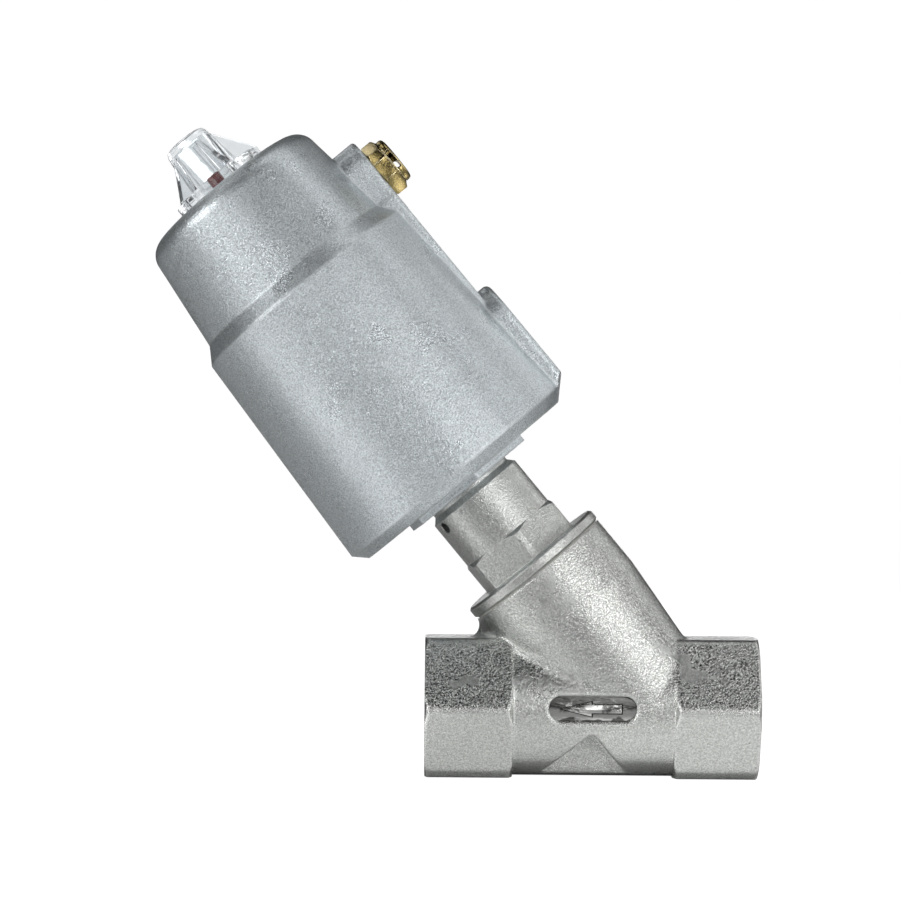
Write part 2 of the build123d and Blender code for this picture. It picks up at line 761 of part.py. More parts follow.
def pad(half, foot, end, flat, edge_round):
    # Boss with a round upper end and a flat outer face, edges rounded.
    face = make_face(
        Plane.YZ
        * Polyline((-half, foot), (half, foot), (half, end - half), (-half, end - half), close=True)
    ) + make_face(Plane.YZ * Circle(half).edge().moved(Location((0, end - half, 0))))
    block = extrude(face, flat - BOSS_ROOT).moved(Location((BOSS_ROOT, 0, 0)))
    return rounded_face(block, flat, edge_round)


upper_boss_end = VENT_W + UPPER_BOSS_RISE
rib_end = VENT_W - RIB_DROP
upper_boss = pad(
    UPPER_BOSS_HALF, rib_end - BOSS_OVERLAP, upper_boss_end, UPPER_BOSS_V, BOSS_EDGE_ROUND
)
lower_boss = pad(
    LOWER_BOSS_HALF, HEAD_BOTTOM - BOSS_OVERLAP, LOWER_BOSS_END, LOWER_BOSS_V, LOWER_BOSS_EDGE_ROUND
)
rib = box_at(BOSS_ROOT, RIB_V, -RIB_HALF, RIB_HALF, LOWER_BOSS_END - 2 * BOSS_OVERLAP, rib_end)
rib = rounded_face(rib, RIB_V, BOSS_EDGE_ROUND)
chamfer_slope = (LOWER_FOOT_W - HEAD_BOTTOM) / (LOWER_FOOT_R - RIM_R)
boss_reach = LOWER_BOSS_V - RIM_R + LOWER_BOSS_HALF
boss_trim = turned(
    [
        (0, HEAD_BOTTOM),
        (RIM_R, HEAD_BOTTOM),
        (RIM_R + boss_reach, HEAD_BOTTOM + boss_reach * chamfer_slope),
        (RIM_R + boss_reach, HEAD_TOP),
        (0, HEAD_TOP),
    ]
)
shell = shell + upper_boss + rib + (lower_boss & boss_trim)

hollow_top = HEAD_TOP - WALL_TOP
hollow = turned(
    [
        (0, HEAD_BOTTOM - OVER),
        (BORE_R, HEAD_BOTTOM - OVER),
        (BORE_R, BORE_TOP),
        (BORE_R - BORE_LEDGE, BORE_TOP + BORE_LEDGE_RISE),
        (LOWER_TOP_R - WALL_LOWER, STEP_LOW - STEP_WALL_LOW),
        (UPPER_FOOT_R - WALL_LOWER, STEP_HIGH - STEP_WALL_HIGH),
        (UPPER_TOP_R - WALL_UPPER, hollow_top - HOLLOW_CHAMFER),
        (UPPER_TOP_R - WALL_UPPER - HOLLOW_CHAMFER, hollow_top),
        (0, hollow_top),
    ]
)
shell = shell - hollow
cap_seat_low = hollow_top - CAP_SEAT_DROP
shell = shell + ring(CAP_SPIGOT_R + CAP_SEAT_WIDTH, 0, cap_seat_low, hollow_top + OVER)
shell = shell - ring(CAP_SPIGOT_R + FIT, 0, cap_seat_low - OVER, HEAD_TOP + OVER)
air_cut = turned(
    [
        (0, BOSS_ROOT),
        (AIR_PORT_R, BOSS_ROOT),
        (AIR_PORT_R, LOWER_BOSS_V - AIR_PORT_CHAMFER),
        (AIR_PORT_R + AIR_PORT_CHAMFER + OVER, LOWER_BOSS_V + OVER),
        (0, LOWER_BOSS_V + OVER),
    ]
).rotate(Axis.Y, 90).moved(Location((0, 0, AIR_PORT_W)))
vent_cut = ring(VENT_R, 0, BOSS_ROOT, UPPER_BOSS_V + OVER).rotate(Axis.Y, 90)
vent_cut = vent_cut.moved(Location((0, 0, VENT_W)))
shell = shell - air_cut - vent_cut
pieces["housing"] = leaning(shell)

# Piston and what is bolted to it.
piston_r = BORE_R - SLIDE
seal_mid = PISTON_BOTTOM + PISTON_SEAL_RISE
wear_mid = PISTON_BOTTOM + WEAR_RING_RISE
seal_half = PISTON_SEAL_HEIGHT / 2
wear_half = WEAR_RING_HEIGHT / 2
seal_groove_r = piston_r - PISTON_SEAL_DEPTH
wear_groove_r = piston_r - WEAR_RING_DEPTH
spring_seat_out = OUTER_SPRING_R + OUTER_SPRING_WIRE / 2 + 2 * LOOSE
piston = turned(
    [
        (SPINDLE_NUT_R, PISTON_BOTTOM),
        (piston_r, PISTON_BOTTOM),
        (piston_r, seal_mid - seal_half),
        (seal_groove_r, seal_mid - seal_half),
        (seal_groove_r, seal_mid + seal_half),
        (piston_r, seal_mid + seal_half),
        (piston_r, wear_mid - wear_half),
        (wear_groove_r, wear_mid - wear_half),
        (wear_groove_r, wear_mid + wear_half),
        (piston_r, wear_mid + wear_half),
        (piston_r, piston_top),
        (spring_seat_out, piston_top),
        (spring_seat_out, web_top),
        (PISTON_HUB_R, web_top),
        (PISTON_HUB_R, piston_top),
        (SPINDLE_NUT_R, piston_top),
    ]
)
pieces["piston"] = leaning(piston)
lip = turned(
    [
        (seal_groove_r + FIT, seal_mid - seal_half + FIT),
        (piston_r, seal_mid - seal_half + FIT),
        (piston_r, seal_mid - seal_half + PISTON_SEAL_VEE),
        (piston_r - PISTON_SEAL_VEE, seal_mid),
        (piston_r, seal_mid + seal_half - PISTON_SEAL_VEE),
        (piston_r, seal_mid + seal_half - FIT),
        (seal_groove_r + FIT, seal_mid + seal_half - FIT),
    ]
)
pieces["piston_seal"] = leaning(lip)
pieces["piston_wear_ring"] = leaning(
    ring(piston_r, wear_groove_r + FIT, wear_mid - wear_half + FIT, wear_mid + wear_half - FIT)
)
pieces["piston_washer"] = leaning(ring(PISTON_WASHER_R, SPINDLE_NUT_R, piston_top, washer_top))
pieces["piston_nut"] = leaning(
    hex_nut(PISTON_NUT_FLATS, SPINDLE_NUT_R, washer_top, nut_top, FRONT_TURN)
)
pieces["outer_spring"] = leaning(
    coil(OUTER_SPRING_R, OUTER_SPRING_WIRE, web_top, hollow_top, OUTER_SPRING_TURNS)
)
pieces["inner_spring"] = leaning(
    coil(INNER_SPRING_R, INNER_SPRING_WIRE, web_top, hollow_top, INNER_SPRING_TURNS, handed=True)
)

# Position pin: red rod on the spindle end, seen through the clear cap.
pin_foot = nut_top + PIN_CLEAR
pin_skirt_r = SPINDLE_NUT_R + PIN_SKIRT
pin_skirt_top = spindle_end + PIN_SKIRT_TOP
pin_shoulder = PIN_TIP_TOP - PIN_TIP_LENGTH - STROKE
pin = turned(
    [
        (0, spindle_end),
        (SPINDLE_NUT_R, spindle_end),
        (SPINDLE_NUT_R, pin_foot),
        (pin_skirt_r, pin_foot),
        (pin_skirt_r, pin_skirt_top),
        (PIN_BODY_R, pin_skirt_top + PIN_SKIRT_SLOPE),
        (PIN_BODY_R, pin_shoulder - PIN_SLOPE),
        (PIN_TIP_R, pin_shoulder),
        (PIN_TIP_R, PIN_TIP_TOP - PIN_TIP_CHAMFER),
        (PIN_TIP_R - PIN_TIP_CHAMFER, PIN_TIP_TOP),
        (0, PIN_TIP_TOP),
    ]
)
pieces["position_pin"] = leaning(pin)

# Clear cap with fins for the fingers.
spigot_low = HEAD_TOP - CAP_SPIGOT_LENGTH
cap_round_part = CAP_TOP_ROUND * 0.3
cap = turned(
    [
        (0, spigot_low),
        (CAP_SPIGOT_R, spigot_low),
        (CAP_SPIGOT_R, HEAD_TOP),
        (CAP_COLLAR_R, HEAD_TOP),
        (CAP_COLLAR_R, CAP_COLLAR_TOP),
        (CAP_TOWER_FOOT_R, CAP_COLLAR_TOP),
        (CAP_TOWER_TOP_R, CAP_TOP - CAP_TOP_ROUND),
        (CAP_TOWER_TOP_R - cap_round_part, CAP_TOP - cap_round_part),
        (CAP_TOWER_TOP_R - CAP_TOP_ROUND, CAP_TOP),
        (CAP_DIMPLE_R, CAP_TOP),
        (CAP_DIMPLE_R - CAP_DIMPLE_DEPTH / 2, CAP_TOP - CAP_DIMPLE_DEPTH),
        (0, CAP_TOP - CAP_DIMPLE_DEPTH),
    ]
)
fin_root_r = (CAP_CAVITY_R + CAP_TOWER_TOP_R) / 2
fin_face = make_face(
    Plane.XZ
    * Polyline(
        (fin_root_r, HEAD_TOP),
        (CAP_FIN_R, HEAD_TOP),
        (CAP_FIN_R, CAP_FIN_SHOULDER),
        (CAP_TOWER_TOP_R + CAP_FIN_STEP, CAP_FIN_TOP),
        (fin_root_r, CAP_FIN_TOP),
        close=True,
    )
)
fin = extrude(fin_face, CAP_FIN_THICKNESS / 2, both=True)
for k in range(CAP_FIN_COUNT):
    cap = cap + fin.rotate(Axis.Z, CAP_FIN_TURN + 360 / CAP_FIN_COUNT * k)
cap = cap - ring(CAP_CAVITY_R, 0, spigot_low - OVER, CAP_TOP - CAP_TOP_WALL)
pieces["indicator_cap"] = leaning(cap)

# Brass silencer on the spring side vent, drawn with z out of the boss, x to the arrow side.
hex_high = UPPER_BOSS_V + SILENCER_HEX_HEIGHT
window_top = hex_high + SILENCER_WINDOW_HEIGHT
disc_top = window_top + SILENCER_DISC_HEIGHT
disc_round_part = SILENCER_DISC_ROUND * 0.3
silencer = ring(VENT_R - FIT, SILENCER_BORE_R, UPPER_BOSS_V - SILENCER_THREAD_LENGTH, UPPER_BOSS_V)
silencer = silencer + hex_nut(
    SILENCER_HEX_FLATS, SILENCER_BORE_R, UPPER_BOSS_V, hex_high, SILENCER_HEX_TURN
)
silencer = silencer + ring(SILENCER_NECK_R, SILENCER_BORE_R, hex_high - FIT, window_top + FIT)
silencer = silencer + turned(
    [
        (0, window_top),
        (SILENCER_DISC_R - SILENCER_DISC_CHAMFER, window_top),
        (SILENCER_DISC_R, window_top + SILENCER_DISC_CHAMFER),
        (SILENCER_DISC_R, disc_top - SILENCER_DISC_ROUND),
        (SILENCER_DISC_R - disc_round_part, disc_top - disc_round_part),
        (SILENCER_DISC_R - SILENCER_DISC_ROUND, disc_top),
        (0, disc_top),
    ]
)
window = box_at(
    SILENCER_MESH_R + FIT,
    SILENCER_DISC_R + OVER,
    -SILENCER_WINDOW_WIDTH / 2,
    SILENCER_WINDOW_WIDTH / 2,
    hex_high + FIT,
    window_top,
)
for k in range(SILENCER_WINDOWS):
    silencer = silencer - window.rotate(Axis.Z, 360 / SILENCER_WINDOWS * k + SILENCER_WINDOW_TURN)
mesh_low = hex_high - SILENCER_MESH_DEPTH
silencer = silencer - ring(SILENCER_MESH_R + FIT, 0, mesh_low, window_top)
mesh = ring(
    SILENCER_MESH_R, SILENCER_MESH_R - SILENCER_MESH_WALL, mesh_low + FIT, window_top - FIT
)
silencer_frame = Location(Plane(origin=(0, 0, VENT_W), x_dir=(0, -1, 0), z_dir=(1, 0, 0)))
pieces["silencer"] = leaning(silencer.moved(silencer_frame))
pieces["silencer_mesh"] = leaning(mesh.moved(silencer_frame))

os.makedirs("parts", exist_ok=True)
for name, shape in pieces.items():
    solids = shape.solids()
    export_step(solids[0] if len(solids) == 1 else Compound(children=solids), f"parts/{name}.step")
    low = shape.bounding_box().min
    high = shape.bounding_box().max
    print(
        f"{name}: {len(solids)} solid, volume {shape.volume:.1f}, "
        f"x {low.X:.1f}..{high.X:.1f} y {low.Y:.1f}..{high.Y:.1f} z {low.Z:.1f}..{high.Z:.1f}"
    )
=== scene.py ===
from math import cos, pi, radians, sin, sqrt, tan

import bmesh
import bpy
from mathutils import Matrix, Vector


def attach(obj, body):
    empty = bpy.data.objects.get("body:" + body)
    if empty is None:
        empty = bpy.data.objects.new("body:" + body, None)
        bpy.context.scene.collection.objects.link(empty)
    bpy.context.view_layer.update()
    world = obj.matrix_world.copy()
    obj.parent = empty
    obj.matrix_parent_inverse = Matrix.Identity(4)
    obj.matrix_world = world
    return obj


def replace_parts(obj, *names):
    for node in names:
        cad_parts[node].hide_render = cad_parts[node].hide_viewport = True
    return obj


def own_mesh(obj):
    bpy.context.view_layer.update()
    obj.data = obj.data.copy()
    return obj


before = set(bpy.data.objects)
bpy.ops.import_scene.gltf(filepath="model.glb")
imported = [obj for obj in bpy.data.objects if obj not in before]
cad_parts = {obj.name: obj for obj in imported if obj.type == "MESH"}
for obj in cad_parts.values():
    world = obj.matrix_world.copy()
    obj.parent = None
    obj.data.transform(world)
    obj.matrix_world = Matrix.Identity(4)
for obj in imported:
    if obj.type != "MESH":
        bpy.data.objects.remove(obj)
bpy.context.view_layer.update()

MM = 0.001

# The leaning spindle axis, as in the part: it meets the pipe axis at SPINDLE_X.
SPINDLE_X = -28.4 * MM
LEAN = radians(50)
ACROSS = Vector((sin(LEAN), 0, cos(LEAN)))
ALONG = Vector((-cos(LEAN), 0, sin(LEAN)))
FOOT = Vector((SPINDLE_X, 0, 0))
SPINDLE = Matrix.Translation(FOOT) @ Matrix(
    ((ACROSS.x, 0, ALONG.x), (0, 1, 0), (ACROSS.z, 0, ALONG.z))
).to_4x4()

# Ports
PORT_WALL_R = 15.15 * MM
PORT_CREST_R = 14.55 * MM
PORT_PITCH = 2.309 * MM
PORT_TURNS = 5
PORT_STEPS = 56
OUTLET_FACE = -90.0 * MM
AIR_WALL_R = 4.28 * MM
AIR_CREST_R = 4.02 * MM
AIR_PITCH = 0.907 * MM
AIR_TURNS = 6
AIR_STEPS = 32
AIR_PORT_FACE = 38.4 * MM
AIR_PORT_HEIGHT = 99.0 * MM
THREAD_SUNK = 0.03 * MM
THREAD_FOOT_SHARE = 0.8

# Closing springs, between the piston and the top of the housing
SPRING_LOW = 110.5 * MM
SPRING_HIGH = 178.6 * MM
SPRING_STEPS = 40
WIRE_SIDES = 14
OUTER_SPRING_R = 20.6 * MM
OUTER_WIRE = 3.6 * MM
OUTER_TURNS = 6
INNER_SPRING_R = 14.0 * MM
INNER_WIRE = 2.6 * MM
INNER_TURNS = 8

# Vent silencer, with heights counted from the face of its boss
VENT_BOSS_FACE = 35.3 * MM
VENT_HEIGHT = 159.4 * MM
NUT_FLATS = 14.0 * MM
NUT_HIGH = 4.3 * MM
NUT_TURN = radians(-5)
NUT_FOOT_R = 7.2 * MM
NUT_FULL_R = 8.3 * MM
NUT_TOP_R = 6.85 * MM
NUT_FACING_LOW = 0.75 * MM
NUT_FACING_HIGH = 3.5 * MM
RIDGE_LOW = (6.7 * MM, -1.3 * MM, 0)
RIDGE_HIGH = (7.14 * MM, -1.1 * MM, NUT_HIGH)
TURNED_SIDES = 96
SHANK_SIDES = 64
BORE_SIDES = 48
HEAD_FOOT = 4.0 * MM
HEAD_FOOT_TOP = 4.42 * MM
HEAD_FOOT_R = 6.8 * MM
HEAD_NECK = 4.52 * MM
HEAD_NECK_R = 6.5 * MM
HEAD_BAND_LOW = 4.8 * MM
HEAD_BAND_HIGH = 5.6 * MM
HEAD_BAND_R = 6.65 * MM
HEAD_SHOULDER = 6.0 * MM
HEAD_SHOULDER_R = 6.5 * MM
HEAD_ROUND = 6.32 * MM
HEAD_ROUND_R = 6.1 * MM
HEAD_TOP_EDGE = 6.5 * MM
HEAD_TOP_EDGE_R = 5.4 * MM
HEAD_TOP = 6.56 * MM
HEAD_TOP_R = 3.0 * MM
HEAD_DISH = 6.4 * MM
HEAD_DISH_R = 2.7 * MM
SHANK_R = 4.7 * MM
SHANK_LENGTH = 7.0 * MM
BORE_R = 2.6 * MM
CHAMBER_R = 2.9 * MM
CHAMBER_LOW = 2.2 * MM
HOLLOW_R = 5.7 * MM
WINDOW_LOW = 4.62 * MM
WINDOW_HIGH = 5.98 * MM
WINDOW_INNER = 4.5 * MM
WINDOW_OUTER = 8.0 * MM
WINDOW_ROUND = 0.6 * MM
WINDOW_ROUND_STEPS = 5
WINDOW_SPREAD = radians(53)
WINDOW_TURNS = (1, 154, 236)
OVERLAP = 0.1 * MM
SHANK_OVERLAP = 0.2 * MM
SILENCER_EDGE = 0.08 * MM
SLEEVE_R = 2.8 * MM
SLEEVE_LOW = 2.25 * MM
SLEEVE_HIGH = 4.0 * MM
SLEEVE_ROUND_R = 2.5 * MM
SLEEVE_ROUND = 4.35 * MM
SLEEVE_TOP_R = 1.9 * MM
SLEEVE_TOP = 4.5 * MM

# Arrow recess in the front of the tube
RECESS_MIDDLE = -45.0 * MM
RECESS_HEIGHT = 0.6 * MM
RECESS_LONG = 23.3 * MM
RECESS_TALL = 6.8 * MM
RECESS_FRONT = -19 * MM
RECESS_BACK = -16.72 * MM
RECESS_END_SHARE = 0.499
RECESS_END_STEPS = 14
CURVE_SIDES = 160
FLOOR_R = 17.20 * MM
ARROW_R = 17.42 * MM
ARROW_GROOVE = 0.32 * MM
ARROW_GROOVE_BACK = -16.85 * MM
ARROW_TIP = -53.1 * MM
ARROW_TIP_GROW = 2.5
ARROW_TIP_SHARE = 0.04
ARROW_DROP = 0.1 * MM
ARROW_HEAD_LONG = 7.8 * MM
ARROW_HEAD_HALF = 1.95 * MM
ARROW_SHAFT_HALF = 1.05 * MM
ARROW_TAIL = -37.3 * MM
ARROW_EDGE = 0.05 * MM

# Stage, in metres
FLOOR_Z = -18.85 * MM
FLOOR_FRONT = -12.0
FLOOR_BACK = 1.4
WALL_CURVE_R = 0.9
WALL_CURVE_STEPS = 24
STAGE_HALF = 12.0
WALL_HIGH = 2.5
BOARD_RAISED = 1.3 * MM
LIGHTS_AIM = Vector((-0.075, 0, 0.065))
CAMERA_PLACE = (-0.0837, -0.8853, 0.06945)
CAMERA_ROLL = radians(-0.45)
CAMERA_LENS = 130.0


# Shader node helpers
def put(tree, kind, **values):
    node = tree.nodes.new(kind)
    for name, value in values.items():
        setattr(node, name, value)
    return node


def feed(tree, node, socket, value):
    target = node.inputs[socket]
    if isinstance(value, bpy.types.NodeSocket):
        tree.links.new(value, target)
    else:
        target.default_value = value


def feed_all(tree, node, values):
    for socket, value in values.items():
        feed(tree, node, socket, value)


def sums(tree, operation, a, b=0.0):
    node = put(tree, "ShaderNodeMath", operation=operation)
    feed(tree, node, 0, a)
    feed(tree, node, 1, b)
    return node.outputs[0]


def span(tree, value, low, high, to_low=0.0, to_high=1.0):
    # A soft step from to_low to to_high while the value goes from low to high.
    node = put(tree, "ShaderNodeMapRange", interpolation_type="SMOOTHSTEP")
    limits = {"From Min": low, "From Max": high, "To Min": to_low, "To Max": to_high}
    feed_all(tree, node, {"Value": value, **limits})
    return node.outputs[0]


def mixed(tree, share, a, b):
    # The colour a where the share is 0, and b where it is 1.
    node = put(tree, "ShaderNodeMix", data_type="RGBA")
    feed(tree, node, 0, share)
    feed(tree, node, 6, a)
    feed(tree, node, 7, b)
    return node.outputs[2]


def noise(tree, vector, scale, detail=2.0, roughness=0.5, distortion=0.0):
    node = put(tree, "ShaderNodeTexNoise")
    form = {"Scale": scale, "Detail": detail, "Roughness": roughness, "Distortion": distortion}
    feed_all(tree, node, {"Vector": vector, **form})
    return node.outputs[0]


def object_place(tree):
    return put(tree, "ShaderNodeTexCoord").outputs["Object"]


def effect(name, wants, gives):
    # A shared effect: a node group with named inputs and outputs.
    tree = bpy.data.node_groups.new(name, "ShaderNodeTree")
    for label, kind, value in wants:
        socket = tree.interface.new_socket(label, in_out="INPUT", socket_type=kind)
        if value is not None:
            socket.default_value = value
    for label, kind in gives:
        tree.interface.new_socket(label, in_out="OUTPUT", socket_type=kind)
    return tree, put(tree, "NodeGroupInput").outputs, put(tree, "NodeGroupOutput")


def use(tree, group, **values):
    node = put(tree, "ShaderNodeGroup", node_tree=group)
    for name, value in values.items():
        feed(tree, node, name.replace("_", " "), value)
    return node.outputs


# Shared effects
def spindle_place():
    # Object coordinates turned to the spindle: X out of the air port side, Z up the spindle.
    tree, _, out = effect("spindle place", [], [("Place", "NodeSocketVector")])
    turn = put(tree, "ShaderNodeMapping", vector_type="POINT")
    feed(tree, turn, "Vector", object_place(tree))
    turn.inputs["Rotation"].default_value = (0, radians(90) - LEAN, 0)
    turn.inputs["Location"].default_value = (-FOOT.dot(ACROSS), 0, -FOOT.dot(ALONG))
    feed(tree, out, "Place", turn.outputs[0])
    return tree


def cast_grain():
    # Shot-blasted casting: thin worm-like wrinkles with fine peening between them.
    tree, given, out = effect(
        "cast grain",
        [
            ("Vector", "NodeSocketVector", None),
            ("Wrinkle", "NodeSocketFloat", 1000.0),
            ("Peen", "NodeSocketFloat", 2600.0),
            ("Peen Share", "NodeSocketFloat", 0.5),
        ],
        [
            ("Height", "NodeSocketFloat"),
            ("Speck", "NodeSocketFloat"),
            ("Tone", "NodeSocketFloat"),
        ],
    )
    place = given["Vector"]
    swirl = noise(tree, place, given["Wrinkle"], detail=1.0, distortion=0.8)
    off_middle = sums(tree, "ABSOLUTE", sums(tree, "SUBTRACT", swirl, 0.5))
    wrinkle = span(tree, off_middle, 0.16, 0.0)
    peen = noise(tree, place, given["Peen"], detail=1.0, roughness=0.6, distortion=0.3)
    patch_scale = sums(tree, "MULTIPLY", given["Wrinkle"], 0.06)
    tone = noise(tree, place, patch_scale, detail=3.0, roughness=0.6)
    mix = put(tree, "ShaderNodeMix")
    feed(tree, mix, 0, given["Peen Share"])
    feed(tree, mix, 2, wrinkle)
    feed(tree, mix, 3, peen)
    feed(tree, out, "Height", mix.outputs[0])
    feed(tree, out, "Speck", span(tree, peen, 0.3, 0.7))
    feed(tree, out, "Tone", tone)
    return tree


def edge_wear_and_highlight():
    # 1 along outer edges and in creases, 0 on open faces; the colour there is lightened, partly
    # as wear and partly as a painted highlight.
    tree, given, out = effect(
        "edge wear and highlight",
        [("Reach", "NodeSocketFloat", 0.6 * MM)],
        [("Edge", "NodeSocketFloat"), ("Normal", "NodeSocketVector")],
    )
    soft = put(tree, "ShaderNodeBevel", samples=4)
    feed(tree, soft, "Radius", given["Reach"])
    flat = put(tree, "ShaderNodeNewGeometry")
    facing = put(tree, "ShaderNodeVectorMath", operation="DOT_PRODUCT")
    feed(tree, facing, 0, soft.outputs[0])
    feed(tree, facing, 1, flat.outputs["Normal"])
    feed(tree, out, "Edge", span(tree, facing.outputs["Value"], 0.999, 0.93))
    feed(tree, out, "Normal", soft.outputs[0])
    return tree


PLACE = spindle_place()
GRAIN = cast_grain()
EDGES = edge_wear_and_highlight()


# Materials
def emptied(made):
    # Takes the nodes out of a material and gives back its empty tree.
    made.use_nodes = True
    tree = made.node_tree
    for node in list(tree.nodes):
        tree.nodes.remove(node)
    return tree


def fresh(name):
    # A slot's material, emptied, with a new Principled shader on its output.
    tree = emptied(bpy.data.materials.get(name) or bpy.data.materials.new(name))
    shader = put(tree, "ShaderNodeBsdfPrincipled")
    out = put(tree, "ShaderNodeOutputMaterial")
    tree.links.new(shader.outputs[0], out.inputs[0])
    return tree, shader


def bumped(tree, shader, height, distance, normal=None):
    # Raises the surface by the height mask, over the softened normal where one is given.
    node = put(tree, "ShaderNodeBump")
    feed_all(tree, node, {"Height": height, "Distance": distance, "Strength": 1.0})
    if normal is not None:
        feed(tree, node, "Normal", normal)
    tree.links.new(node.outputs[0], shader.inputs["Normal"])


def grained(tree, shader, grain, edge, dark, light, wear_and_highlight):
    # Base colour of a grained metal: dark and light specks, and a lighter colour along edges and
    # in creases, partly wear and partly a painted highlight.
    shade = mixed(tree, grain["Speck"], dark, light)
    feed(tree, shader, "Base Color", mixed(tree, edge["Edge"], shade, wear_and_highlight))


def patchy(tree, shader, grain, first, last):
    # Roughness that drifts from first to last over broad patches.
    rough = span(tree, grain["Tone"], 0.35, 0.65, to_low=first, to_high=last)
    feed(tree, shader, "Roughness", rough)


def silver_coat():
    # The actuator's silver coating over a fine-grained casting.
    tree, shader = fresh("silver_coat")
    place = use(tree, PLACE)["Place"]
    grain = use(tree, GRAIN, Vector=place, Wrinkle=1450.0, Peen=2800.0, Peen_Share=0.65)
    edge = use(tree, EDGES, Reach=1.4 * MM)
    dark = (0.42, 0.455, 0.475, 1)
    light = (0.79, 0.845, 0.87, 1)
    # Lighter along edges and in creases: partly wear, partly a painted highlight.
    wear_and_highlight = (0.74, 0.78, 0.80, 1)
    grained(tree, shader, grain, edge, dark, light, wear_and_highlight)
    feed(tree, shader, "Metallic", 0.75)
    patchy(tree, shader, grain, 0.27, 0.33)
    bumped(tree, shader, grain["Height"], 0.08 * MM, edge["Normal"])


def cast_steel():
    # The body: blasted investment-cast stainless steel, with edges and creases lightened partly
    # as rubbed wear and partly as a painted highlight.
    tree, shader = fresh("cast_steel")
    place = object_place(tree)
    grain = use(tree, GRAIN, Vector=place, Wrinkle=1300.0, Peen=2600.0, Peen_Share=0.6)
    edge = use(tree, EDGES, Reach=1.2 * MM)
    dark = (0.45, 0.46, 0.443, 1)
    light = (0.68, 0.692, 0.672, 1)
    wear_and_highlight = (0.90, 0.91, 0.89, 1)
    grained(tree, shader, grain, edge, dark, light, wear_and_highlight)
    feed(tree, shader, "Metallic", 1.0)
    patchy(tree, shader, grain, 0.23, 0.28)
    bumped(tree, shader, grain["Height"], 0.13 * MM, edge["Normal"])


def turned_steel():
    # The bonnet and the spindle's pieces.
    tree, shader = fresh("turned_steel")
    place = use(tree, PLACE)["Place"]
    grain = use(tree, GRAIN, Vector=place, Wrinkle=1000.0, Peen=2300.0, Peen_Share=0.5)
    edge = use(tree, EDGES, Reach=0.4 * MM)
    dark = (0.45, 0.46, 0.443, 1)
    light = (0.65, 0.662, 0.642, 1)
    # Lighter along edges and in creases: partly wear, partly a painted highlight.
    wear_and_highlight = (0.75, 0.76, 0.74, 1)
    grained(tree, shader, grain, edge, dark, light, wear_and_highlight)
    feed(tree, shader, "Metallic", 1.0)
    feed(tree, shader, "Roughness", 0.34)
    bumped(tree, shader, grain["Height"], 0.09 * MM, edge["Normal"])


def brass_fitting():
    # The vent silencer: dull brass with bright edges, partly wear and partly a painted highlight.
    tree, shader = fresh("brass_fitting")
    place = use(tree, PLACE)["Place"]
    grain = use(tree, GRAIN, Vector=place, Wrinkle=700.0, Peen=2600.0, Peen_Share=0.7)
    edge = use(tree, EDGES, Reach=0.3 * MM)
    dark = (0.36, 0.282, 0.112, 1)
    light = (0.47, 0.366, 0.152, 1)
    wear_and_highlight = (0.92, 0.82, 0.55, 1)
    grained(tree, shader, grain, edge, dark, light, wear_and_highlight)
    feed(tree, shader, "Metallic", 1.0)
    patchy(tree, shader, grain, 0.27, 0.21)
    bumped(tree, shader, grain["Height"], 0.04 * MM, edge["Normal"])


def clear_cap():
    # Clear moulded plastic with a faint haze and slightly wavy walls.
    tree, shader = fresh("clear_cap")
    wave = noise(tree, use(tree, PLACE)["Place"], 260.0)
    edge = use(tree, EDGES, Reach=0.4 * MM)
    haze = (0.76, 0.79, 0.81, 1)
    clear = (0.84, 0.865, 0.88, 1)
    feed(tree, shader, "Base Color", mixed(tree, span(tree, wave, 0.3, 0.7), haze, clear))
    feed(tree, shader, "Metallic", 0.0)
    feed(tree, shader, "Transmission Weight", 0.95)
    feed(tree, shader, "IOR", 1.49)
    feed(tree, shader, "Roughness", span(tree, wave, 0.3, 0.7, to_low=0.02, to_high=0.07))
    bumped(tree, shader, wave, 0.04 * MM, edge["Normal"])


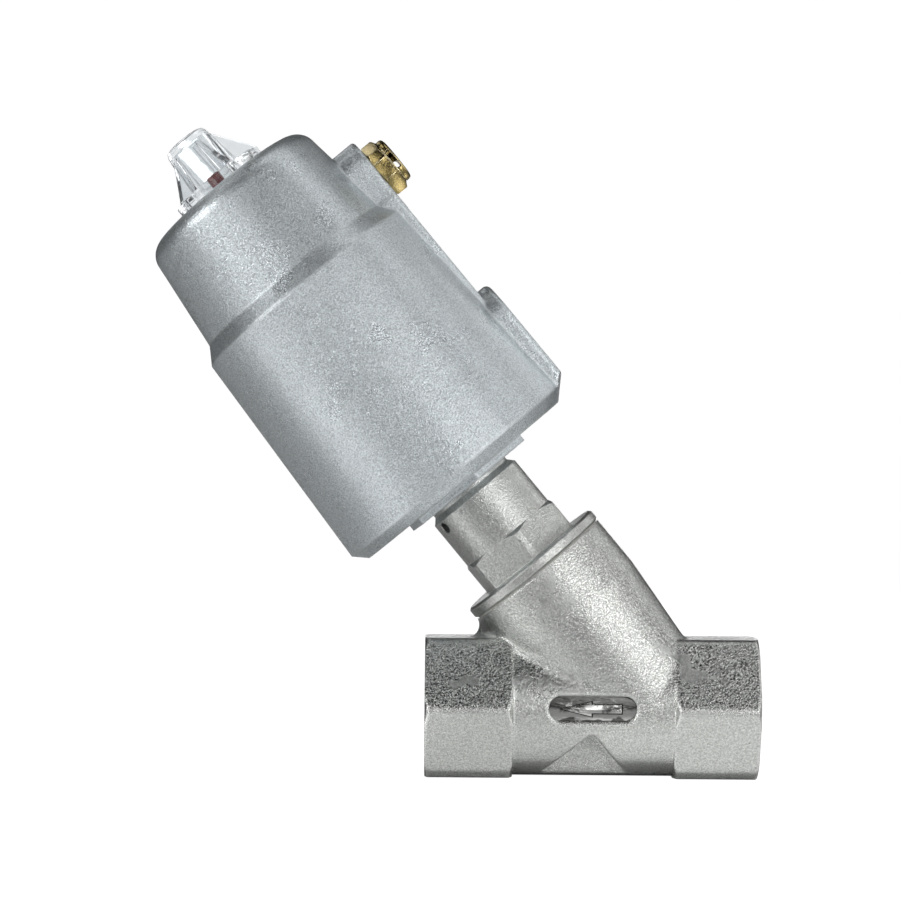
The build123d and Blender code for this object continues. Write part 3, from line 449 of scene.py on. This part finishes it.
def polished_steel():
    # The smooth skin of the arrow recess: a painted reflection, dark with a bright band, rubbed
    # in streaks, and painted shade in the groove round the arrow.
    tree, shader = fresh("polished_steel")
    place = object_place(tree)
    # The dim skin and the bright band are a painted reflection.
    dim = (0.13, 0.132, 0.126, 1)
    bright = (0.60, 0.605, 0.59, 1)
    streak = (0.50, 0.505, 0.49, 1)
    # Painted shade for the groove round the arrow.
    groove_shade = (0.03, 0.03, 0.028, 1)
    drag = put(tree, "ShaderNodeMapping")
    feed(tree, drag, "Vector", place)
    drag.inputs["Scale"].default_value = (0.3, 1.0, 1.6)
    marks = noise(tree, drag.outputs[0], 800.0, roughness=0.6, distortion=0.6)
    band_wobble = noise(tree, place, 170.0, detail=3.0, roughness=0.6, distortion=0.8)
    parts = put(tree, "ShaderNodeSeparateXYZ")
    feed(tree, parts, 0, place)
    # Painted reflection: the bright band lies between two heights, and a broad noise shifts its
    # edges.
    wander = sums(tree, "MULTIPLY", sums(tree, "SUBTRACT", band_wobble, 0.5), 9 * MM)
    height = sums(tree, "ADD", parts.outputs[2], wander)
    below_top = span(tree, height, 1.5 * MM, 0.2 * MM)
    above_foot = span(tree, height, -2.5 * MM, -1.8 * MM)
    band = sums(tree, "MULTIPLY", below_top, above_foot)
    # Painted shade lies wherever the skin is deeper than the floor, as in the groove round the
    # arrow.
    y2 = sums(tree, "MULTIPLY", parts.outputs[1], parts.outputs[1])
    z2 = sums(tree, "MULTIPLY", parts.outputs[2], parts.outputs[2])
    from_axis = sums(tree, "SQRT", sums(tree, "ADD", y2, z2))
    outside_groove = span(tree, from_axis, FLOOR_R - 0.14 * MM, FLOOR_R - 0.05 * MM)
    streaks = span(tree, marks, 0.55, 0.75, to_high=0.6)
    # The painted reflection band, with rubbed streaks over it.
    reflection_and_rub = mixed(tree, streaks, mixed(tree, band, dim, bright), streak)
    feed(tree, shader, "Base Color", mixed(tree, outside_groove, groove_shade, reflection_and_rub))
    feed(tree, shader, "Metallic", 1.0)
    feed(tree, shader, "Roughness", span(tree, marks, 0.3, 0.7, to_low=0.10, to_high=0.24))
    bumped(tree, shader, marks, 0.05 * MM)


def plain(name, colour, metallic, roughness):
    # A hidden piece's finish: faint patches and a slight grain.
    tree, shader = fresh(name)
    place = use(tree, PLACE)["Place"]
    grain = use(tree, GRAIN, Vector=place, Wrinkle=1500.0, Peen=3750.0)
    dark = tuple(c * 0.85 for c in colour[:3]) + (1,)
    smooth = roughness * 0.9
    rough = roughness * 1.15
    feed(tree, shader, "Base Color", mixed(tree, grain["Tone"], dark, colour))
    feed(tree, shader, "Metallic", metallic)
    feed(tree, shader, "Roughness", span(tree, grain["Height"], 0.4, 1.0, smooth, rough))
    bumped(tree, shader, grain["Height"], 0.02 * MM)


def pale_floor():
    # White as the camera sees it, a plain pale surface for the light that falls on the object.
    made = bpy.data.materials.new("pale_floor")
    tree = emptied(made)
    out = put(tree, "ShaderNodeOutputMaterial")
    seen = put(tree, "ShaderNodeBsdfDiffuse")
    feed(tree, seen, "Color", (0.3, 0.3, 0.3, 1))
    bright = put(tree, "ShaderNodeEmission")
    feed(tree, bright, "Color", (1, 1, 1, 1))
    feed(tree, bright, "Strength", 1.0)
    white = put(tree, "ShaderNodeAddShader")
    tree.links.new(seen.outputs[0], white.inputs[0])
    tree.links.new(bright.outputs[0], white.inputs[1])
    dim = put(tree, "ShaderNodeBsdfDiffuse")
    feed(tree, dim, "Color", (0.6, 0.6, 0.6, 1))
    ray = put(tree, "ShaderNodeLightPath").outputs
    straight = sums(tree, "MAXIMUM", ray["Is Camera Ray"], ray["Is Transmission Ray"])
    both = put(tree, "ShaderNodeMixShader")
    tree.links.new(straight, both.inputs[0])
    tree.links.new(dim.outputs[0], both.inputs[1])
    tree.links.new(white.outputs[0], both.inputs[2])
    tree.links.new(both.outputs[0], out.inputs[0])
    return made


silver_coat()
cast_steel()
turned_steel()
polished_steel()
brass_fitting()
clear_cap()
plain("spring_steel", (0.42, 0.42, 0.42, 1), metallic=1.0, roughness=0.30)
plain("machined_aluminium", (0.62, 0.63, 0.64, 1), metallic=1.0, roughness=0.30)
plain("seal_white", (0.72, 0.71, 0.68, 1), metallic=0.0, roughness=0.5)
plain("seal_black", (0.02, 0.02, 0.02, 1), metallic=0.0, roughness=0.55)
plain("indicator_red", (0.32, 0.003, 0.003, 1), metallic=0.0, roughness=0.3)


# Modelling helpers
def deselect():
    bpy.ops.object.select_all(action="DESELECT")


def alone(made):
    # Selects one object and makes it the active one.
    deselect()
    bpy.context.view_layer.objects.active = made
    made.select_set(True)


def placed(made):
    # Puts an object's place, turn and stretch into its mesh.
    bpy.ops.object.transform_apply(location=True, rotation=True, scale=True)
    return made


def made_now(name, stretch=(1, 1, 1)):
    # Names the primitive just added, stretches it and puts its place into its mesh.
    made = bpy.context.object
    made.name = name
    made.scale = stretch
    return placed(made)


def bar(name, radius, low, high, sides, turn=0.0):
    # A bar along the drawing's Z axis.
    deselect()
    bpy.ops.mesh.primitive_cylinder_add(
        vertices=sides,
        radius=radius,
        depth=high - low,
        location=(0, 0, (low + high) / 2),
        rotation=(0, 0, turn),
    )
    return made_now(name)


def block(name, low, high):
    # A block between two corners.
    deselect()
    middle = [(a + b) / 2 for a, b in zip(low, high)]
    size = [b - a for a, b in zip(low, high)]
    bpy.ops.mesh.primitive_cube_add(size=1, location=middle)
    return made_now(name, size)


def opened(made, kind):
    # Opens edit mode with nothing selected.
    bpy.context.view_layer.objects.active = made
    bpy.ops.object.mode_set(mode="EDIT")
    bpy.ops.mesh.select_mode(type=kind)
    bpy.ops.mesh.select_all(action="DESELECT")


def pick(made, kind, wanted):
    # Opens edit mode with the faces or edges that pass the test selected.
    opened(made, kind)
    mesh = bmesh.from_edit_mesh(made.data)
    for part in mesh.faces if kind == "FACE" else mesh.edges:
        part.select_set(wanted(part))
    bmesh.update_edit_mesh(made.data)


def done():
    bpy.ops.object.mode_set(mode="OBJECT")


def turned(name, outline, sides):
    # A turned shape: its top face is drawn out along the (radius, height) outline.
    radius, low = outline[0]
    top_r, high = outline[1]
    made = bar(name, radius, low, high, sides)
    pick(made, "FACE", lambda face: face.normal.z > 0.9)
    grow = top_r / radius
    bpy.ops.transform.resize(value=(grow, grow, 1), center_override=(0, 0, high))
    for next_r, next_z in outline[2:]:
        rise = (0, 0, next_z - high)
        bpy.ops.mesh.extrude_region_move(TRANSFORM_OT_translate={"value": rise})
        grow = next_r / top_r
        bpy.ops.transform.resize(value=(grow, grow, 1), center_override=(0, 0, next_z))
        top_r, high = next_r, next_z
    done()
    return made


def joined(made, other, operation):
    # Adds, cuts or keeps what is shared with the other shape, which is used up.
    alone(made)
    step = made.modifiers.new("shape", "BOOLEAN")
    step.operation = operation
    step.solver = "EXACT"
    step.object = other
    bpy.ops.object.modifier_apply(modifier=step.name)
    bpy.data.objects.remove(other)
    return made


def copied(made, name, turn=0.0):
    # A copy with its own mesh, turned about the drawing's Z axis.
    other = made.copy()
    other.data = made.data.copy()
    other.name = name
    bpy.context.scene.collection.objects.link(other)
    alone(other)
    other.rotation_euler = (0, 0, turn)
    return placed(other)


def softened(made, width, angle):
    # Rounds the edges that are sharper than the angle.
    alone(made)
    step = made.modifiers.new("edges", "BEVEL")
    step.width = width
    step.segments = 2
    step.limit_method = "ANGLE"
    step.angle_limit = radians(angle)
    bpy.ops.object.modifier_apply(modifier=step.name)
    return made


def wound(made, rise, turns, steps, sides, hand=1):
    # Sweeps a ring of so many sides up a screw and closes both ends.
    step = made.modifiers.new("wind", "SCREW")
    step.axis = "Z"
    step.angle = hand * 2 * pi
    step.screw_offset = rise
    step.iterations = turns
    step.steps = steps
    step.render_steps = steps
    bpy.ops.object.modifier_apply(modifier=step.name)
    opened(made, "VERT")
    bpy.ops.mesh.select_all(action="SELECT")
    bpy.ops.mesh.fill_holes(sides=sides)
    bpy.ops.mesh.normals_make_consistent(inside=False)
    done()
    return made


def settled(made, place, body, slot, angle=32, finish=None):
    # Moves a finished piece from its drawing to its place and gives it its body and finish.
    alone(made)
    made.matrix_world = place
    placed(made)
    bpy.ops.object.shade_smooth_by_angle(angle=radians(angle))
    made.data.materials.clear()
    made.data.materials.append(bpy.data.materials[finish or slot])
    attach(made, body)
    return made


# Pipe threads: a ridge wound round the wall of each port
def thread_ridge(name, wall_r, crest_r, pitch, turns, steps):
    # Drawn from the port's mouth down the Z axis, from a triangle with its foot in the wall.
    height = wall_r + THREAD_SUNK - crest_r
    foot = pitch * THREAD_FOOT_SHARE
    deselect()
    bpy.ops.mesh.primitive_circle_add(
        vertices=3,
        radius=MM,
        location=(wall_r + THREAD_SUNK - height / 3, 0, -foot),
        rotation=(radians(90), radians(-90), 0),
    )
    made = made_now(name, (foot / MM / sqrt(3), height / MM / 1.5, 1))
    return wound(made, -pitch, turns, steps, 3)


def port_place(face, turn):
    # A port's mouth, with the drawing's Z axis along the port's own.
    return Matrix.Translation(face) @ Matrix.Rotation(radians(turn), 4, "Y")


inlet_thread = thread_ridge(
    "inlet_thread", PORT_WALL_R, PORT_CREST_R, PORT_PITCH, PORT_TURNS, PORT_STEPS
)
outlet_thread = copied(inlet_thread, "outlet_thread")
air_thread = thread_ridge(
    "air_port_thread", AIR_WALL_R, AIR_CREST_R, AIR_PITCH, AIR_TURNS, AIR_STEPS
)
air_place = SPINDLE @ port_place((AIR_PORT_FACE, 0, AIR_PORT_HEIGHT), 90)
settled(inlet_thread, port_place((0, 0, 0), 90), "valve", "cast_steel", angle=50)
settled(outlet_thread, port_place((OUTLET_FACE, 0, 0), -90), "valve", "cast_steel", angle=50)
settled(air_thread, air_place, "head", "silver_coat", angle=50)


# Closing springs: they hang from the top of the housing
def coil_spring(name, mean_r, wire, turns, hand):
    # A round ring of wire swept up by a screw.
    length = SPRING_HIGH - SPRING_LOW
    deselect()
    bpy.ops.mesh.primitive_circle_add(
        vertices=WIRE_SIDES,
        radius=wire / 2,
        location=(mean_r, 0, SPRING_LOW + wire / 2),
        rotation=(radians(90), 0, 0),
    )
    made = made_now(name)
    wound(made, (length - wire) / turns, turns, SPRING_STEPS, WIRE_SIDES, hand)
    settled(made, SPINDLE, "head", "spring_steel", angle=50)
    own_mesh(made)
    return made


outer_spring = coil_spring("outer_closing_spring", OUTER_SPRING_R, OUTER_WIRE, OUTER_TURNS, 1)
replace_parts(outer_spring, "outer_spring")
inner_spring = coil_spring("inner_closing_spring", INNER_SPRING_R, INNER_WIRE, INNER_TURNS, -1)
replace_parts(inner_spring, "inner_spring")


# Vent silencer, drawn with Z out of the boss and X to the camera's side
def silencer_nut():
    # The hexagon with its faced corners and a fine ridge beside the front corner.
    corner_r = NUT_FLATS / 2 / cos(radians(30))
    nut = bar("vent_silencer", corner_r, 0, NUT_HIGH, 6, NUT_TURN)
    ridge = block("ridge", RIDGE_LOW, RIDGE_HIGH)
    joined(nut, copied(ridge, "turned_ridge", NUT_TURN), "UNION")
    bpy.data.objects.remove(ridge)
    faced = turned(
        "faced",
        [
            (NUT_FOOT_R, 0),
            (NUT_FULL_R, NUT_FACING_LOW),
            (NUT_FULL_R, NUT_FACING_HIGH),
            (NUT_TOP_R, NUT_HIGH),
        ],
        TURNED_SIDES,
    )
    return joined(nut, faced, "INTERSECT")


def silencer_head():
    # The mushroom head with its groove, band, rounded edge and dished top.
    return turned(
        "head",
        [
            (HEAD_FOOT_R, HEAD_FOOT),
            (HEAD_FOOT_R, HEAD_FOOT_TOP),
            (HEAD_NECK_R, HEAD_NECK),
            (HEAD_BAND_R, HEAD_BAND_LOW),
            (HEAD_BAND_R, HEAD_BAND_HIGH),
            (HEAD_SHOULDER_R, HEAD_SHOULDER),
            (HEAD_ROUND_R, HEAD_ROUND),
            (HEAD_TOP_EDGE_R, HEAD_TOP_EDGE),
            (HEAD_TOP_R, HEAD_TOP),
            (HEAD_DISH_R, HEAD_DISH),
        ],
        TURNED_SIDES,
    )


def silencer_window():
    # One window, wider towards the outside and with rounded corners.
    inner_half = WINDOW_INNER * tan(WINDOW_SPREAD / 2)
    grow = WINDOW_OUTER / WINDOW_INNER
    outside = (WINDOW_OUTER, 0, WINDOW_LOW)
    window = block(
        "window",
        (WINDOW_INNER, -inner_half, WINDOW_LOW),
        (WINDOW_OUTER, inner_half, WINDOW_HIGH),
    )
    pick(window, "FACE", lambda face: face.normal.x > 0.9)
    bpy.ops.transform.resize(value=(1, grow, 1), center_override=outside)
    done()
    pick(window, "EDGE", lambda edge: abs(edge.verts[0].co.x - edge.verts[1].co.x) > MM)
    bpy.ops.mesh.bevel(offset=WINDOW_ROUND, segments=WINDOW_ROUND_STEPS)
    done()
    return window


def silencer():
    # Nut, head and shank in one, bored through and open at its windows.
    made = silencer_nut()
    joined(made, silencer_head(), "UNION")
    shank = bar("shank", SHANK_R, -SHANK_LENGTH, SHANK_OVERLAP, SHANK_SIDES)
    joined(made, shank, "UNION")
    for name, radius, low, high, sides in (
        ("chamber", CHAMBER_R, CHAMBER_LOW, WINDOW_LOW + OVERLAP, BORE_SIDES),
        ("hollow", HOLLOW_R, WINDOW_LOW, WINDOW_HIGH, TURNED_SIDES),
        ("bore", BORE_R, -SHANK_LENGTH - MM, CHAMBER_LOW + OVERLAP, BORE_SIDES),
    ):
        joined(made, bar(name, radius, low, high, sides), "DIFFERENCE")
    window = silencer_window()
    for turn in WINDOW_TURNS:
        joined(made, copied(window, "turned_window", radians(turn)), "DIFFERENCE")
    bpy.data.objects.remove(window)
    return softened(made, SILENCER_EDGE, 30)


def filter_sleeve():
    # The porous plug in the chamber under the windows.
    return turned(
        "vent_filter",
        [
            (SLEEVE_R, SLEEVE_LOW),
            (SLEEVE_R, SLEEVE_HIGH),
            (SLEEVE_ROUND_R, SLEEVE_ROUND),
            (SLEEVE_TOP_R, SLEEVE_TOP),
        ],
        BORE_SIDES,
    )


vent_turn = Matrix(((0, 0, 1), (-1, 0, 0), (0, -1, 0))).to_4x4()
vent_place = SPINDLE @ Matrix.Translation((VENT_BOSS_FACE, 0, VENT_HEIGHT)) @ vent_turn
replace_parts(settled(silencer(), vent_place, "head", "brass_fitting"), "silencer")
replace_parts(settled(filter_sleeve(), vent_place, "head", "brass_fitting"), "silencer_mesh")


# Arrow recess: a floor that follows the tube's curve, with the raised arrow on it
def pipe_bar(name, radius, low, high):
    # A bar along the pipe axis.
    made = bar(name, radius, low, high, CURVE_SIDES)
    alone(made)
    made.rotation_euler = (0, radians(90), 0)
    return placed(made)


def recess_floor():
    # A block with round ends, trimmed to the tube's curve.
    low = (
        RECESS_MIDDLE - RECESS_LONG / 2,
        RECESS_FRONT,
        RECESS_HEIGHT - RECESS_TALL / 2,
    )
    high = (
        RECESS_MIDDLE + RECESS_LONG / 2,
        RECESS_BACK,
        RECESS_HEIGHT + RECESS_TALL / 2,
    )
    made = block("recess_floor", low, high)
    pick(
        made,
        "EDGE",
        lambda edge: abs((edge.verts[0].co - edge.verts[1].co).normalized().y) > 0.9,
    )
    bpy.ops.mesh.bevel(offset=RECESS_TALL * RECESS_END_SHARE, segments=RECESS_END_STEPS)
    done()
    return joined(made, pipe_bar("curve", FLOOR_R, low[0] - MM, high[0] + MM), "INTERSECT")


def arrow_block(name, grow, back):
    # The arrow's outline, wider all round by grow, as a block reaching back into the floor.
    reach = ARROW_TIP + ARROW_HEAD_LONG + grow
    half = ARROW_HEAD_HALF + grow
    tip = ARROW_TIP - grow * ARROW_TIP_GROW
    made = block(name, (tip, RECESS_FRONT, -half), (reach, back, half))
    pick(made, "FACE", lambda face: face.normal.x < -0.9)
    bpy.ops.transform.resize(value=(1, 1, ARROW_TIP_SHARE), center_override=(tip, 0, 0))
    done()
    shaft_half = ARROW_SHAFT_HALF + grow
    shaft = block(
        "shaft",
        (reach - OVERLAP, RECESS_FRONT, -shaft_half),
        (ARROW_TAIL + grow, back, shaft_half),
    )
    joined(made, shaft, "UNION")
    alone(made)
    made.location.z = RECESS_HEIGHT - ARROW_DROP
    return placed(made)


def raised_arrow():
    # The flow arrow, standing a little above the floor and following its curve.
    made = arrow_block("raised_arrow", 0.0, RECESS_BACK)
    joined(made, pipe_bar("curve", ARROW_R, ARROW_TIP - MM, ARROW_TAIL + MM), "INTERSECT")
    return softened(made, ARROW_EDGE, 40)


def recess_settled(made):
    settled(made, Matrix.Identity(4), "valve", "cast_steel", angle=40, finish="polished_steel")


arrow_floor = recess_floor()
joined(arrow_floor, arrow_block("groove", ARROW_GROOVE, ARROW_GROOVE_BACK), "DIFFERENCE")
recess_settled(arrow_floor)
recess_settled(raised_arrow())


# Stage: pale floor that rises into a wall behind, soft boxes, camera
def stage_cove():
    # The floor's back edge is spun up into a curve and drawn out as the wall.
    deselect()
    size = (STAGE_HALF * 2, FLOOR_BACK - FLOOR_FRONT, 1)
    middle = (0, (FLOOR_FRONT + FLOOR_BACK) / 2, FLOOR_Z)
    bpy.ops.mesh.primitive_plane_add(size=1, location=middle)
    cove = made_now("studio_cove", size)
    pick(cove, "EDGE", lambda edge: min(v.co.y for v in edge.verts) > FLOOR_BACK - 0.01)
    bpy.ops.mesh.spin(
        steps=WALL_CURVE_STEPS,
        angle=radians(-90),
        center=(0, FLOOR_BACK, FLOOR_Z + WALL_CURVE_R),
        axis=(1, 0, 0),
    )
    bpy.ops.mesh.extrude_edges_move(TRANSFORM_OT_translate={"value": (0, 0, WALL_HIGH)})
    done()
    bpy.ops.object.shade_smooth()
    cove.data.materials.append(pale_floor())


def panel(name, place, wide, tall, power, aim):
    # An area light that the camera doesn't see.
    lamp = bpy.data.lights.new(name, "AREA")
    lamp.shape = "RECTANGLE"
    lamp.size = wide
    lamp.size_y = tall
    lamp.energy = power
    holder = bpy.data.objects.new(name, lamp)
    bpy.context.scene.collection.objects.link(holder)
    holder.location = place
    holder.rotation_euler = (aim - place).to_track_quat("-Z", "Y").to_euler()
    holder.visible_camera = False


def soft_box(name, turn, rise, wide, tall, power):
    # A soft box a metre from the object: turn to the right of the camera, rise above level.
    turn = radians(turn)
    rise = radians(rise)
    way = Vector((sin(turn) * cos(rise), -cos(turn) * cos(rise), sin(rise)))
    panel(name, LIGHTS_AIM + way, wide, tall, power, LIGHTS_AIM)


def bounce_board(name, x, y, wide, deep, power):
    # A lit board lying on the floor, facing up.
    place = Vector((x, y, FLOOR_Z + BOARD_RAISED))
    panel(name, place, wide, deep, power, place + Vector((0, 0, 1)))


def photo_view():
    # The photograph's view: level, straight from the front, rolled by half a degree.
    camera = bpy.data.cameras.new("photo_view")
    camera.lens = CAMERA_LENS
    camera.sensor_width = 36.0
    camera.clip_start = 0.05
    camera.clip_end = 20
    holder = bpy.data.objects.new("photo_view", camera)
    bpy.context.scene.collection.objects.link(holder)
    holder.location = CAMERA_PLACE
    holder.rotation_euler = (radians(90), CAMERA_ROLL, 0)
    bpy.context.scene.camera = holder


stage_cove()
soft_box("left_far", turn=-63, rise=12, wide=0.22, tall=0.35, power=1.7)
soft_box("left_near", turn=-50, rise=12, wide=0.22, tall=0.35, power=1.4)
soft_box("front_left", turn=-20, rise=12, wide=0.35, tall=0.35, power=0.65)
soft_box("front_right", turn=14, rise=12, wide=0.35, tall=0.35, power=0.85)
soft_box("right_near", turn=35, rise=12, wide=0.35, tall=0.35, power=1.2)
soft_box("right_far", turn=60, rise=12, wide=0.35, tall=0.35, power=1.5)
soft_box("right_end", turn=85, rise=12, wide=0.35, tall=0.35, power=0.55)
soft_box("front_high", turn=36, rise=36, wide=0.30, tall=0.30, power=0.48)
soft_box("right_mid", turn=80, rise=38, wide=0.30, tall=0.30, power=0.45)
soft_box("right_high", turn=80, rise=62, wide=0.40, tall=0.40, power=0.7)
soft_box("top", turn=0, rise=88, wide=0.40, tall=0.40, power=0.9)
soft_box("back_right", turn=125, rise=30, wide=0.50, tall=0.50, power=1.1)
soft_box("back_left", turn=-143, rise=36, wide=0.25, tall=0.25, power=0.35)
soft_box("left_high", turn=-90, rise=50, wide=0.30, tall=0.30, power=0.45)
soft_box("back_low", turn=180, rise=1, wide=0.40, tall=0.12, power=0.38)
bounce_board("board_left", x=-0.27, y=-0.13, wide=0.16, deep=0.14, power=0.078)
bounce_board("board_under", x=-0.135, y=-0.045, wide=0.08, deep=0.05, power=0.0135)
bounce_board("board_near_left", x=-0.075, y=-0.0385, wide=0.060, deep=0.052, power=0.0046)
bounce_board("board_near_right", x=-0.0125, y=-0.0385, wide=0.065, deep=0.052, power=0.0065)
bounce_board("board_right", x=0.12, y=-0.22, wide=0.10, deep=0.10, power=0.4)
bounce_board("board_back", x=0.035, y=0.085, wide=0.10, deep=0.08, power=0.06)
bpy.context.scene.view_settings.view_transform = "Standard"
photo_view()
